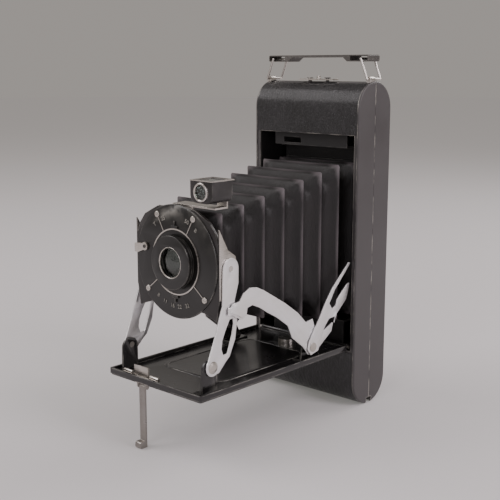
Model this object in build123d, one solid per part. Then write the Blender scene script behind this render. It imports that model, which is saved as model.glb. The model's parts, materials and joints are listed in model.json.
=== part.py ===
from build123d import *
import os
from math import atan2, cos, degrees, hypot, radians, sin

os.makedirs("parts", exist_ok=True)

# Self-erecting folding roll-film camera, modelled open and standing upright.
# Millimetres.  Drawing frame: x = 0 is the lens plane, y = 0 the body's front face with the
# lens towards -y, z = 0 the surface that the camera stands on.

# --- body
body_w = 77.5              # width across the side faces
body_h = 190.0             # height
body_d = 31.0              # depth; the two ends are half rounds of this diameter
wall = 1.4                 # shell wall
edge_r = 1.0               # rounding of the side outline
rim_w = 1.2                # bare metal rim beside the leather
leather_t = 0.5            # leather on the body, let into a recess
seam = 0.1                 # half the gap between shell and back cover
side_gap = 0.4             # bed to inner side wall
liner_t = 1.2              # inner frame sheet
opening_z0 = 34.6          # front opening, lower and upper edge
opening_z1 = 160.0
optic_z = 98.5             # centre of the film gate
gate_y = 21.0              # film plane
gate_w = 56.0              # picture size
gate_h = 84.0
frame_skin = 0.2           # gap between the shell and the inner frame
baffle_hw = 27.0           # light baffles above and below the bellows
baffle_y = 5.0
baffle_t = 1.0
high_baffle_z = 152.3      # lower edge of the upper baffle
low_baffle_z = 50.6        # upper edge of the lower baffle
well_x = 31.9              # slots beside the film gate that clear the folded links
well_z0 = 55.0
well_z1 = 150.0
socket_boss_r = 4.8        # bush of the side tripod socket
key_bush_r = 4.0

# --- fits
run = 0.05                 # radial running clearance of pins and shafts
gap = 0.4                  # clearance between pieces that pass each other

# --- film transport
spool_len = 66.0
spool_r = 12.6
spool_core_r = 6.2
spool_flange_t = 1.4
spool_stud_r = 2.4
spool_stud_x = 28.0        # inner end of the studs in the spools' ends
stud_flange_r = 5.0
roller_r = 1.3
roller_end_r = 0.6
roller_proud = 0.7         # how far the rollers stand behind the film gate's rear face
key_shaft_r = 1.8
key_reach = 8.6            # winding key, out from the side face
key_wing_h = 16.0

# --- back cover and its fittings
back_hinge_r = 1.6
back_pin_r = 0.8
back_notch = 2.4           # half width of the gap in the shells at the back hinge
knuckle_x = 10.0           # back cover's knuckle, then the shell's two
knuckle_end = 30.0
knuckle_gap = 0.2
strap_z0 = 0.45            # hinge straps under the shells
strap_z1 = 1.9
plate_post_z = 30.0        # pressure plate's two guide posts, up and down from the gate
plate_post_r = 1.2
plate_hw = 31.0
plate_hh = 46.0
plate_gap = 0.1            # posts in the plate
spring_t = 0.4
spring_half = 24.0
latch_hw = 12.5
latch_y = 12.4
latch_half = 2.8
latch_travel = 3.2
latch_stud_x = 6.5
latch_stud_r = 1.0
latch_lift = 0.35          # latch plate above the body
latch_t = 0.8

# --- bed (the drop front) and its hinge
bed_hw = body_w / 2 - 3.75
bed_len = 121.5
bed_floor_t = 1.0
bed_wall = 1.2
bed_corner_r = 1.0
bed_z0 = 34.9              # underside, leather included
bed_z1 = 38.7              # top of the rim
bed_leather_t = 0.7
hinge_r = 1.8
hinge_pin_r = 0.9
hinge_y = 1.0
hinge_z = bed_z0 + 1.0 + hinge_y
hinge_mid = 8.0            # half length of the body's knuckle
latch_tab_x0 = -19.0       # the bed latch's tab, and its distance from the body's face
latch_tab_x1 = -8.0
latch_tab_y = 117.3

# --- struts, links and levers, each flat plate lying across x
plate_t = 0.8
ear_t = 1.0
flange_x = 30.0            # inner face of the standard's side flange
ear_x = 29.8               # inner face of the ears on the bed
strut_x = 31.2             # inner faces of strut, link and lever
link_x = 32.7
lever_x = 33.9
pivot_r = 1.5
strut_head_r = 5.5         # rounded ends of the struts
strut_foot_r = 4.6
rivet_rise = 0.55          # domed heads over the front pivots
head_gap = 0.05            # under the rivets' heads
front_pivot = (-109.6, 50.1)     # (y, z), strut on the bed
top_pivot = (-96.3, 98.6)        # strut on the standard
rear_pivot = (-33.2, 44.5)       # link and lever on the bed
strut_pin = (-94.0, 77.0)        # link on the strut

# --- standard and lens
standard_y = -102.0        # rear face of the standard
standard_t = 1.5
lens_z = 99.0
face_r = 30.0
face_t = 0.8
trim_r = 17.5
trim_w = 0.7
rib_w = 0.4                # fine ribs from the trim ring to the screws
pointer_rise = 0.4         # pointers stand this far off the disc
screw_ring_r = 27.2
barrel_r = 14.25
barrel_front = -108.4
barrel_edge = 0.4          # rounding of the barrel's front edge
seat_len = 2.2             # seat for a push-on filter, and the step behind it
seat_step = 0.25
mount_r = 9.35
glass_r = 8.0
housing_r = 20.8
housing_t = 4.4

# --- finder
finder_w = 15.5
finder_h = 11.0
finder_x = 23.25
finder_z = 137.5
finder_y0 = -108.2
finder_y1 = -94.0

# --- bellows
fold_pitch = 13.2
fold_depth = 3.0
fold_first = -91.4
fold_count = 8
bellows_t = 0.8
picture_margin = 3.6       # bellows frame beyond the picture, up and down
frame_depth = 2.5

# --- foot, handle, sockets
foot_x = -9.75
foot_w = 4.3
foot_y = -119.8
foot_z = 33.4
toe_reach = 3.6
handle_y0 = 9.0            # the handle's two wires
handle_y1 = 22.0
wire_r = 0.7
clip_r = 1.5               # clips that hold the wires to the body
handle_inset = 1.75        # pivots, in from the body's sides and up from its top
handle_lift = 1.2
grip_inset = 6.25          # the same for the loops' upper ends
grip_lift = 12.5
strap_inset = 1.95         # ends of the strap
strap_eye = 24.2           # inner end of the strap's long eyes
strap_t = 0.6
tripod_r = 3.175
tripod_y = -15.0
side_socket_y = 9.0
window_r = 5.0
window_knob_y = 2.4        # knob of the film window's cover, out from the back
slide_hh = 6.5             # half height of that cover, and of its two rails
rail_hh = 8.6
rail_x0 = -23.0
rail_x1 = 9.0

half_w = body_w / 2
handle_foot = (half_w - handle_inset, body_h + handle_lift)
handle_top = (half_w - grip_inset, body_h + grip_lift)
strap_hw = half_w - strap_inset
end_r = body_d / 2
mid_y = body_d / 2
low_spool_z = end_r
top_spool_z = body_h - end_r
liner_x = bed_hw + side_gap
face_y = standard_y - standard_t
face_front = face_y - face_t
lens_axis = (0, lens_z)
back_hinge_y = mid_y
back_hinge_z = back_hinge_r
gate_back = gate_y + liner_t
gate_z0 = opening_z0 - 3.6
gate_z1 = opening_z1 - 1.4
roller_y = gate_back - roller_r + roller_proud
roller_z = (gate_z0 - roller_r - 0.3, gate_z1 + roller_r + 0.3)
plate_y = gate_back + gap
rail_y1 = body_d + 1.6
tray_z0 = bed_z0 + bed_leather_t
floor_z = tray_z0 + bed_floor_t
bed_back = -2.4
tripod_boss_r = 5.0
tripod_depth = 4.0
frame_hw = 29.4
frame_y = gate_y - frame_depth
frame_hh = gate_h / 2 + picture_margin


def bar(x0, x1, y0, y1, z0, z1):
    return Pos((x0 + x1) / 2, (y0 + y1) / 2, (z0 + z1) / 2) * Box(x1 - x0, y1 - y0, z1 - z0)


def rod_x(r, x0, x1, y, z):
    return Pos((x0 + x1) / 2, y, z) * Rot(0, 90, 0) * Cylinder(r, x1 - x0)


def rod_y(r, y0, y1, x, z):
    return Pos(x, (y0 + y1) / 2, z) * Rot(90, 0, 0) * Cylinder(r, y1 - y0)


def rod_z(r, z0, z1, x, y):
    return Pos(x, y, (z0 + z1) / 2) * Cylinder(r, z1 - z0)


def outline(points, corner=0.0):
    face = make_face(Polyline(*points, close=True))
    return fillet(face.vertices(), corner) if corner else face


def sheet_x(points, x0, x1, corner=0.0):
    """A flat plate across x from its (y, z) outline."""
    return extrude(Plane.YZ.offset(x0) * outline(points, corner), x1 - x0, dir=(1, 0, 0))


def sheet_y(points, y0, y1, corner=0.0):
    """A flat plate across y from its (x, z) outline."""
    return extrude(Plane.XZ.offset(-y0) * outline(points, corner), y1 - y0, dir=(0, 1, 0))


def both(shape):
    """The shape and its mirror image across the lens plane."""
    return shape + mirror(shape, Plane.YZ)


def pair(shape):
    """The shape and its mirror image kept as two solids."""
    return Compound([*shape.solids(), *mirror(shape, Plane.YZ).solids()])


# --- body shell ----------------------------------------------------------------------------

def stadium(width, inset):
    r = end_r - inset
    ends = [rod_x(r, -width / 2, width / 2, mid_y, z) for z in (low_spool_z, top_spool_z)]
    middle = bar(-width / 2, width / 2, inset, body_d - inset, low_spool_z, top_spool_z)
    return middle + ends[0] + ends[1]


def leather_skin(margin, width):
    return stadium(width, margin) - stadium(width + 2, leather_t)


def shell_blank():
    blank = stadium(body_w, 0)
    rims = [e for e in blank.edges() if abs(abs(e.center().X) - half_w) < 0.001]
    blank = fillet(rims, edge_r)
    blank -= stadium(body_w - 2 * wall, wall)
    skin_w = body_w - 2 * rim_w
    return blank - (stadium(skin_w, -0.5) - stadium(skin_w, leather_t))


def hinge_notch():
    y0 = back_hinge_y - back_notch
    y1 = back_hinge_y + back_notch
    return bar(-half_w - 1, half_w + 1, y0, y1, -1, back_hinge_z + 2.0)


def key_hole():
    return rod_x(key_bush_r + gap / 2, -half_w - 1, -half_w + wall + 1, mid_y, top_spool_z)


def latch_studs():
    under_head = body_h + latch_lift + latch_t + 0.2
    stud = rod_z(latch_stud_r, body_h - 0.9, under_head + 0.1, latch_stud_x, latch_y)
    return both(stud + rod_z(latch_stud_r + 0.8, under_head, under_head + 0.55, latch_stud_x, latch_y))


def body_shell():
    shell = shell_blank() & bar(-half_w - 1, half_w + 1, -1, mid_y - seam, -1, body_h + 1)
    shell -= bar(-liner_x, liner_x, -1, wall + 1, opening_z0, opening_z1)
    shell -= hinge_notch()
    shell -= key_hole()
    shell -= rod_x(socket_boss_r, -half_w - 1, -half_w + wall + 1, side_socket_y, optic_z)
    y0 = back_hinge_y - back_notch - 0.6
    x0 = knuckle_x + knuckle_gap
    shell += both(bar(x0, knuckle_end, y0, back_hinge_y, strap_z0, strap_z1))
    shell += both(rod_x(back_hinge_r, x0, knuckle_end, back_hinge_y, back_hinge_z))
    shell -= rod_x(back_pin_r, -knuckle_end - 1, knuckle_end + 1, back_hinge_y, back_hinge_z)
    shell += bar(-hinge_mid, hinge_mid, 0, wall, opening_z0 - 1, hinge_z)
    shell += rod_x(hinge_r, -hinge_mid, hinge_mid, hinge_y, hinge_z)
    shell -= rod_x(hinge_pin_r, -hinge_mid - 1, hinge_mid + 1, hinge_y, hinge_z)
    return shell + latch_studs()


def body_leather():
    skin = leather_skin(0, body_w - 2 * rim_w - 0.2)
    y_end = mid_y - seam - 1.0
    top = skin & bar(-half_w, half_w, -1, y_end, opening_z1 + 0.4, body_h - 1.2)
    low = skin & bar(-half_w, half_w, -1, y_end - back_notch, 0.6, opening_z0 - 1.2)
    return Compound([*top.solids(), *low.solids()])


def back_hinge_pin():
    return rod_x(back_pin_r, -knuckle_end, knuckle_end, back_hinge_y, back_hinge_z)


def inner_frame():
    """Side liners, film gate and its two shelves, with the bush of the key and a tripod boss."""
    y_front = wall + frame_skin
    inside = stadium(body_w - 2 * wall, y_front)
    frame = both(bar(liner_x, liner_x + liner_t, y_front, gate_back, 0, body_h)) & inside
    frame += bar(-liner_x, liner_x, gate_y, gate_back, gate_z0, gate_z1)
    frame += bar(-liner_x, liner_x, y_front, gate_back, gate_z0, gate_z0 + liner_t)
    frame += bar(-liner_x, liner_x, y_front, gate_y - liner_t, opening_z1, opening_z1 + liner_t)
    frame -= bar(-gate_w / 2, gate_w / 2, gate_y - 1, gate_back + 1,
                 optic_z - gate_h / 2, optic_z + gate_h / 2)
    frame -= both(bar(well_x, liner_x, gate_y - 1, gate_back + 1, well_z0, well_z1))
    bush = rod_x(key_bush_r, -half_w - gap, -liner_x - 0.5, mid_y, top_spool_z)
    boss = rod_x(socket_boss_r, -half_w, -liner_x - 0.2, side_socket_y, optic_z)
    frame += bush + boss
    frame -= rod_x(key_shaft_r + run, -half_w - 1, -liner_x + 1, mid_y, top_spool_z)
    frame -= rod_x(tripod_r, -half_w - 1, -liner_x - gap, side_socket_y, optic_z)
    for z in roller_z:
        frame -= both(rod_x(roller_end_r + run, liner_x - 1, liner_x + 0.8, roller_y, z))
    return frame


def light_baffles():
    """Two angle plates in front of the film gate; the upper one has the bed latch's catch."""
    y = baffle_y
    t = baffle_t
    z = high_baffle_z
    high = sheet_x([(y, z), (gate_y, z), (gate_y, z + t), (y + t, z + t), (y + t, opening_z1),
                    (y, opening_z1)], -baffle_hw, baffle_hw)
    z_catch = hinge_z + hinge_y + latch_tab_y
    high -= bar(latch_tab_x0 - 1, latch_tab_x1 + 1, y - 1, y + t + 1, z_catch - 1.5, z_catch + 1.7)
    z = low_baffle_z
    z0 = gate_z0 + liner_t
    low = sheet_x([(y, z0), (y + t, z0), (y + t, z - t), (gate_y, z - t), (gate_y, z), (y, z)],
                  -baffle_hw, baffle_hw)
    return Compound([*high.solids(), *low.solids()])


def hinge_rod():
    return rod_x(hinge_pin_r, -bed_hw + 0.4, bed_hw - 0.4, hinge_y, hinge_z)


def lever_studs():
    return pair(rod_x(2.2, liner_x - 0.45, liner_x, 6.5, 82.0))


def spool_stud(z):
    """Stud at the +x end of a spool, with the flange that holds it to the side liner."""
    x = spool_len / 2 + gap
    return rod_x(spool_stud_r, spool_stud_x, x, mid_y, z) + rod_x(stud_flange_r, x, liner_x, mid_y, z)


def spool_studs():
    low = spool_stud(low_spool_z)
    return Compound([*spool_stud(top_spool_z).solids(), *pair(low).solids()])


def spool(z):
    core = rod_x(spool_core_r, -spool_len / 2, spool_len / 2, mid_y, z)
    x0 = spool_len / 2 - spool_flange_t
    core += both(rod_x(spool_r, x0, spool_len / 2, mid_y, z))
    core -= both(rod_x(spool_stud_r + run, spool_stud_x - 2, spool_len / 2 + 1, mid_y, z))
    return core - both(bar(spool_len / 2 - 3, spool_len / 2 + 1, mid_y - 0.75, mid_y + 0.75,
                           z - 5.0, z + 5.0))


def roller(z):
    core = rod_x(roller_r, -liner_x + 0.4, liner_x - 0.4, roller_y, z)
    return core + rod_x(roller_end_r, -liner_x - 0.5, liner_x + 0.5, roller_y, z)


def winding_key():
    x_out = -half_w - key_reach
    shaft = rod_x(key_shaft_r, x_out + 3.0, -spool_len / 2 - 1.0, mid_y, top_spool_z)
    tongue = bar(-spool_len / 2 - 1.5, -spool_len / 2 + 2.2, mid_y - 0.45, mid_y + 0.45,
                 top_spool_z - 3.6, top_spool_z + 3.6)
    hub = rod_x(3.6, -half_w - 2.6, -half_w - gap * 2, mid_y, top_spool_z)
    wing = bar(x_out, -half_w - 2.4, mid_y - 0.9, mid_y + 0.9,
               top_spool_z - key_wing_h / 2, top_spool_z + key_wing_h / 2)
    tips = [e for e in wing.edges().filter_by(Axis.Y) if e.center().X < x_out + 0.01]
    return shaft + tongue + hub + fillet(tips, 4.0)


# --- back cover ----------------------------------------------------------------------------


def back_cover():
    cover = shell_blank() & bar(-half_w - 1, half_w + 1, mid_y + seam, body_d + 1, -1, body_h + 1)
    cover -= hinge_notch()
    cover -= key_hole()
    y1 = back_hinge_y + back_notch + 0.6
    cover += bar(-knuckle_x, knuckle_x, back_hinge_y, y1, strap_z0, strap_z1)
    cover += rod_x(back_hinge_r, -knuckle_x, knuckle_x, back_hinge_y, back_hinge_z)
    cover -= rod_x(back_pin_r + run, -knuckle_x - 1, knuckle_x + 1, back_hinge_y, back_hinge_z)
    cover -= rod_y(window_r, body_d - wall - 1, body_d + 1, 0, optic_z)
    for z in (-plate_post_z, plate_post_z):
        cover += rod_y(plate_post_r, plate_y + 0.2, body_d - wall + 0.1, 0, optic_z + z)
    for side in (-1, 1):
        z_in, z_out = sorted([side * (slide_hh + 0.3), side * rail_hh])
        rail = bar(rail_x0, rail_x1, body_d - leather_t, rail_y1, optic_z + z_in, optic_z + z_out)
        z_in, z_out = sorted([side * (slide_hh - 0.9), side * rail_hh])
        lip = bar(rail_x0, rail_x1, rail_y1 - 0.5, rail_y1, optic_z + z_in, optic_z + z_out)
        cover += rail + lip
    return cover


def back_leather():
    skin = leather_skin(0, body_w - 2 * rim_w - 0.2)
    skin &= bar(-half_w, half_w, mid_y + seam + back_notch + 0.8, body_d + 1, 0, body_h)
    return skin - bar(rail_x0 - gap, rail_x1 + gap, body_d - 2, body_d + 1,
                      optic_z - rail_hh - gap, optic_z + rail_hh + gap)


def ruby_glass():
    return rod_y(window_r, body_d - wall, body_d - leather_t - 0.1, 0, optic_z)


def window_cover():
    y0 = body_d + 0.1
    slide = bar(-7.5, 7.5, y0, y0 + 0.6, optic_z - slide_hh, optic_z + slide_hh)
    return slide + rod_y(2.0, y0 + 0.5, body_d + window_knob_y, 0, optic_z)


def pressure_plate():
    plate = bar(-plate_hw, plate_hw, plate_y, plate_y + 0.8, optic_z - plate_hh, optic_z + plate_hh)
    for z in (-plate_post_z, plate_post_z):
        plate -= rod_y(plate_post_r + plate_gap, plate_y - 1, plate_y + 2, 0, optic_z + z)
    return plate


def pressure_spring():
    """Two bowed leaves joined by a tie at their lower ends."""
    foot_y = plate_y + 0.8
    top = body_d - wall - gap
    rise = top - foot_y
    r = (spring_half ** 2 + rise ** 2) / (2 * rise)
    leaf = rod_x(r, 8, 16, top - r, optic_z) - rod_x(r - spring_t, 7, 17, top - r, optic_z)
    leaf &= bar(0, 20, foot_y, body_d, optic_z - 40, optic_z + 40)
    z0 = optic_z - spring_half
    return both(leaf) + bar(-16, 16, foot_y, foot_y + spring_t, z0, z0 + 3)


def back_latch():
    z0 = body_h + latch_lift
    plate = bar(-latch_hw, latch_hw, latch_y - latch_half, latch_y + latch_half, z0, z0 + latch_t)
    slot_r = latch_stud_r + 0.1
    for x1 in (-latch_stud_x, latch_stud_x):
        x0 = x1 - latch_travel
        plate -= bar(x0, x1, latch_y - slot_r, latch_y + slot_r, z0 - 1, z0 + 2)
        plate -= rod_z(slot_r, z0 - 1, z0 + 2, x0, latch_y)
        plate -= rod_z(slot_r, z0 - 1, z0 + 2, x1, latch_y)
    return plate + rod_z(1.2, z0 + latch_t - 0.1, z0 + latch_t + 1.6, 0, latch_y)


# --- handle --------------------------------------------------------------------------------

def handle_clips():
    x, z = handle_foot
    y0 = handle_y0 + 1.4
    y1 = mid_y - seam - gap / 2
    clip = rod_y(clip_r, y0, y1, x, z) + bar(x - clip_r, x + clip_r, y0, y1, z - 4, z)
    clip -= stadium(body_w + 4, 0)
    return pair(clip - rod_y(wire_r + run, y0 - 1, y1 + 1, x, z))


def handle_loop(side):
    (x0, z0), (x1, z1) = handle_foot, handle_top
    length = hypot(x1 - x0, z1 - z0)
    leg = Rot(0, degrees(atan2(x1 - x0, z1 - z0)), 0) * rod_z(wire_r, 0, length, 0, 0)
    loop = rod_y(wire_r, handle_y0, handle_y1, x0, z0) + rod_y(wire_r, handle_y0, handle_y1, x1, z1)
    for y in (handle_y0, handle_y1):
        loop += Pos(x0, y, z0) * leg
        for x, z in (handle_foot, handle_top):
            loop += Pos(x, y, z) * Sphere(wire_r)
    return loop if side > 0 else mirror(loop, Plane.YZ)


def handle_strap():
    z0 = handle_top[1] - wire_r - 0.2
    z1 = z0 + 2 * wire_r + 1.1
    low = z0 - strap_t
    high = z1 + strap_t
    points = [(-strap_hw, low), (-22, low), (-19, high - 1.3), (19, high - 1.3), (22, low),
              (strap_hw, low), (strap_hw, high), (-strap_hw, high)]
    y0 = handle_y0 + wire_r + 0.3
    y1 = handle_y1 - wire_r - 0.3
    strap = sheet_y(points, y0, y1, 0.9)
    slot = bar(strap_eye, strap_hw - strap_t, y0 - 1, y1 + 1, z0, z1)
    return strap - both(slot)


# --- bed -----------------------------------------------------------------------------------


def bed_tray():
    tray = bar(-bed_hw, bed_hw, -bed_len, bed_back, tray_z0, bed_z1)
    corners = tray.edges().filter_by(Axis.Z).sort_by(Axis.Y)[:2]
    tray = fillet(corners, bed_corner_r)
    tray -= bar(-bed_hw + bed_wall, bed_hw - bed_wall, -bed_len + bed_wall, 0, floor_z, bed_z1 + 1)
    tray += panel_bead(ear_x - 6.2, -96.0, -23.0)
    x0 = hinge_mid + 0.3
    x1 = bed_hw - 1.5
    tray += both(bar(x0, x1, bed_back - 1, hinge_y - 0.4, tray_z0, floor_z))
    tray += both(rod_x(hinge_r, x0, x1, hinge_y, hinge_z))
    tray -= rod_x(hinge_pin_r + run, -half_w, half_w, hinge_y, hinge_z)
    tray -= rod_z(tripod_boss_r, 30, 45, 0, tripod_y)
    return tray


def panel_bead(hw, y0, y1):
    """The pressed bead that stiffens the bed's floor, a rounded loop."""
    ring = Pos(0, (y0 + y1) / 2, 0) * RectangleRounded(2 * hw, y1 - y0, 8.0)
    ring -= Pos(0, (y0 + y1) / 2, 0) * RectangleRounded(2 * hw - 4, y1 - y0 - 4, 6.0)
    return extrude(Pos(0, 0, floor_z - 0.2) * ring, 0.5)


def bed_leather():
    skin = bar(-bed_hw + 0.6, bed_hw - 0.6, -bed_len + 0.6, bed_back - 0.8, bed_z0, tray_z0)
    corners = skin.edges().filter_by(Axis.Z).sort_by(Axis.Y)[:2]
    skin = fillet(corners, bed_corner_r)
    skin -= rod_z(tripod_boss_r, 30, 45, 0, tripod_y)
    return skin - bar(foot_x - 5.2, foot_x + 5.2, -bed_len, foot_y + 6.2, bed_z0 - 1, tray_z0 + 1)


def tripod_bush():
    bush = rod_z(tripod_boss_r, bed_z0, bed_z0 + tripod_depth + 0.6, 0, tripod_y)
    return bush - rod_z(tripod_r, bed_z0 - 1, bed_z0 + tripod_depth, 0, tripod_y)


def bed_latch():
    y_front = -bed_len + bed_wall
    base = bar(-28, 0, y_front, y_front + 3.7, floor_z, floor_z + 0.8)
    tab = bar(latch_tab_x0, latch_tab_x1, -latch_tab_y - 0.4, -latch_tab_y + 0.4, floor_z, 43.0)
    curls = [rod_x(1.1, x0, x1, -latch_tab_y, floor_z + 1.7) for x0, x1 in ((-27, -20.5), (-6.5, 0))]
    return base + tab + curls[0] + curls[1]


def ears(points, pivot, corner_r):
    ear = sheet_x(points, ear_x, ear_x + ear_t)
    top = [e for e in ear.edges().filter_by(Axis.X) if e.center().Z > floor_z + 2]
    ear = fillet(top, corner_r)
    y0 = min(p[0] for p in points)
    y1 = max(p[0] for p in points)
    ear += bar(ear_x - 5, ear_x + ear_t, y0, y1, floor_z, floor_z + 0.8)
    return pair(ear - rod_x(pivot_r, ear_x - 1, ear_x + 2, *pivot))


def front_ears():
    y, z = front_pivot
    points = [(y - 6.8, floor_z), (y + 4.0, floor_z), (y + 4.0, z + 4.0), (y - 6.2, z + 4.0)]
    return ears(points, front_pivot, 5.0)


def rear_ears():
    y, z = rear_pivot
    points = [(y - 6.0, floor_z), (y + 10.6, floor_z), (y + 4.2, z + 4.0), (y - 4.2, z + 4.0)]
    return ears(points, rear_pivot, 3.0)


def bed_rivets():
    """Four rivets: domed ones for the struts, spaced ones for the links and levers."""
    x1 = strut_x + plate_t + head_gap
    front = rod_x(pivot_r, ear_x, x1 + 0.1, *front_pivot)
    dome = Cone(3.2, 1.6, rivet_rise, align=(Align.CENTER, Align.CENTER, Align.MIN))
    front += Pos(x1, *front_pivot) * Rot(0, 90, 0) * dome
    x1 = lever_x + plate_t + head_gap
    rear = rod_x(pivot_r, ear_x, x1 + 0.1, *rear_pivot)
    rear += rod_x(2.6, ear_x + ear_t, link_x - head_gap, *rear_pivot)
    rear += rod_x(2.6, x1, x1 + 0.3, *rear_pivot)
    return pair(Compound([*front.solids(), *rear.solids()]))


def foot_bracket():
    x0 = foot_x - foot_w / 2 - 0.25
    x1 = foot_x + foot_w / 2 + 0.25
    base = bar(x0 - 2, x1 + 2, foot_y - 1.2, foot_y + 6, bed_z0, tray_z0)
    for a, b in ((x0 - 1.1, x0), (x1, x1 + 1.1)):
        base += bar(a, b, foot_y - 1.2, foot_y + 1.2, foot_z, bed_z0 + 0.2)
        base += rod_x(1.2, a, b, foot_y, foot_z)
    return base + rod_x(0.55, x0 - 1.1, x1 + 1.1, foot_y, foot_z)


def foot():
    x0 = foot_x - foot_w / 2
    x1 = foot_x + foot_w / 2
    leg = bar(x0, x1, foot_y - 0.9, foot_y + 0.4, 1.0, foot_z)
    toe = bar(x0, x1, foot_y - toe_reach - 0.9, foot_y + 0.4, 0, 3.7)
    toe = fillet(toe.edges().filter_by(Axis.X).sort_by(Axis.Y)[:2], 1.2)
    leg += toe + rod_x(1.1, x0, x1, foot_y, foot_z)
    return leg - rod_x(0.6, x0 - 1, x1 + 1, foot_y, foot_z)


# --- struts, links, levers -----------------------------------------------------------------

strut_outline = [(-113.8, 51.1), (-110.5, 46.2), (-105.4, 46.3), (-100.5, 51.0), (-97.6, 53.2),
                 (-93.4, 61.6), (-91.8, 71.5), (-93.6, 82.0), (-90.9, 90.5), (-90.8, 98.4),
                 (-93.4, 103.4), (-98.6, 103.4), (-101.9, 98.6), (-102.5, 80.2), (-107.3, 66.7)]
strut_slot = [(-103.4, 58.4), (-102.2, 55.0), (-99.0, 55.2), (-97.4, 59.6), (-95.6, 64.6),
              (-94.4, 69.6), (-94.6, 73.0), (-97.4, 72.6), (-100.4, 67.6), (-102.8, 62.6)]

link_outline = [(-98.8, 77.0), (-96.4, 80.4), (-91.4, 81.4), (-88.8, 84.8), (-84.0, 87.0),
                (-78.6, 86.4), (-73.0, 83.8), (-56.1, 73.9), (-45.1, 66.3), (-38.1, 59.5),
                (-32.4, 60.6), (-28.2, 49.6), (-13.4, 55.2), (-15.2, 49.8), (-29.6, 40.6),
                (-36.0, 40.4), (-40.5, 46.0), (-50.0, 53.2), (-53.6, 60.8), (-62.4, 67.0),
                (-70.0, 71.2), (-76.4, 75.2), (-82.0, 77.6), (-85.8, 76.8), (-86.4, 73.0),
                (-89.8, 71.4), (-94.6, 73.4)]

lever_outline = [(-34.9, 40.2), (-28.4, 41.6), (-25.2, 50.3), (-22.6, 54.4), (-19.1, 58.0),
                 (-13.5, 58.5), (-3.4, 66.6), (-2.0, 70.0), (-0.2, 76.2), (-3.0, 75.4),
                 (-11.9, 68.0), (-13.0, 64.8), (-16.4, 63.4), (-18.9, 67.0), (-14.0, 74.0),
                 (0.6, 87.6), (-1.6, 88.0), (-16.8, 75.0), (-22.6, 67.9), (-28.2, 59.6),
                 (-36.2, 48.0), (-37.4, 43.4)]


def strut(side):
    plate = sheet_x(strut_outline, strut_x, strut_x + plate_t, 0.8)
    plate += rod_x(strut_head_r, strut_x, strut_x + plate_t, *top_pivot)
    plate += rod_x(strut_foot_r, strut_x, strut_x + plate_t, *front_pivot)
    plate -= sheet_x(strut_slot, strut_x - 1, strut_x + 2, 0.7)
    plate -= rod_x(pivot_r + run, strut_x - 1, strut_x + 2, *front_pivot)
    plate -= rod_x(pivot_r, strut_x - 1, strut_x + 2, *top_pivot)
    return plate if side > 0 else mirror(plate, Plane.YZ)


def top_rivets():
    y, z = top_pivot
    rivet = rod_x(pivot_r, flange_x - 0.4, strut_x + plate_t, y, z)
    return pair(rivet + rod_x(2.8, flange_x - 1.0, flange_x - 0.15, y, z))


def link(side):
    plate = sheet_x(link_outline, link_x, link_x + plate_t, 0.6)
    plate -= rod_x(pivot_r + run, link_x - 1, link_x + 2, *rear_pivot)
    plate += rod_x(2.8, link_x, link_x + plate_t + 0.22, *strut_pin)
    y, z = strut_pin
    plate += bar(link_x, link_x + plate_t, y - 5.6, y + 1.0, z - 2.0, z + 2.0)
    return plate if side > 0 else mirror(plate, Plane.YZ)


def lever(side):
    plate = sheet_x(lever_outline, lever_x, lever_x + plate_t, 0.5)
    plate -= rod_x(pivot_r + run, lever_x - 1, lever_x + 2, *rear_pivot)
    return plate if side > 0 else mirror(plate, Plane.YZ)


# --- standard, shutter and lens ------------------------------------------------------------

standard_half = [(0, 75.6), (20, 74.8), (28.8, 71.7), (31, 84), (31, 109), (28.4, 116.5),
                 (24, 122), (14, 127), (0, 128.5)]
flange_outline = [(-103.5, 119.2), (-97.4, 108.3), (-92.0, 104.5), (-90.4, 99.0), (-90.6, 88.0),
                  (-95.0, 83.0), (-103.5, 83.0)]


def standard_plate():
    left = [(-x, z) for x, z in reversed(standard_half[1:-1])]
    plate = sheet_y(standard_half + left, face_y, standard_y)
    flange = sheet_x([(max(y, face_y), z) for y, z in flange_outline], flange_x, flange_x + 1.0)
    flange -= rod_x(pivot_r + run, flange_x - 1, flange_x + 2, *top_pivot)
    plate += both(flange)
    return plate - rod_y(housing_r - 6, face_y - 1, standard_y + 1, *lens_axis)


def shutter_housing():
    y1 = standard_y + housing_t
    case = rod_y(housing_r, standard_y, y1, *lens_axis)
    case -= rod_y(housing_r - 1.2, standard_y - 1, y1 - 1.0, *lens_axis)
    return case - rod_y(glass_r - 0.4, standard_y, y1 + 1, *lens_axis)


def rear_lens():
    y1 = standard_y + housing_t
    return rod_y(glass_r - 0.4, y1 - 1.0, y1, *lens_axis)


def shutter_blades():
    disc = rod_y(housing_r - 1.2, standard_y + 0.8, standard_y + 1.0, *lens_axis)
    halves = [disc & bar(-40, -0.02, -200, 0, 0, 200), disc & bar(0.02, 40, -200, 0, 0, 200)]
    return Compound([s for h in halves for s in h.solids()])


def iris():
    disc = rod_y(housing_r - 1.2, standard_y + 1.8, standard_y + 2.0, *lens_axis)
    return disc - rod_y(3.0, standard_y, standard_y + 4, *lens_axis)


release_pivot = (-22.6, 104.6)


def faceplate():
    disc = rod_y(face_r, face_front, face_y, *lens_axis)
    disc = fillet(disc.edges().sort_by(Axis.Y)[:1], 0.4)
    disc += rod_y(0.9, face_front - 1.7, face_front, *release_pivot)
    return disc - rod_y(mount_r, face_front - 1, face_y + 1, *lens_axis)


screw_angles = (60.5, 119.5, 218.8, 321.2)


def on_face(radius, angle):
    return radius * cos(radians(angle)), lens_z + radius * sin(radians(angle))


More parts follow.
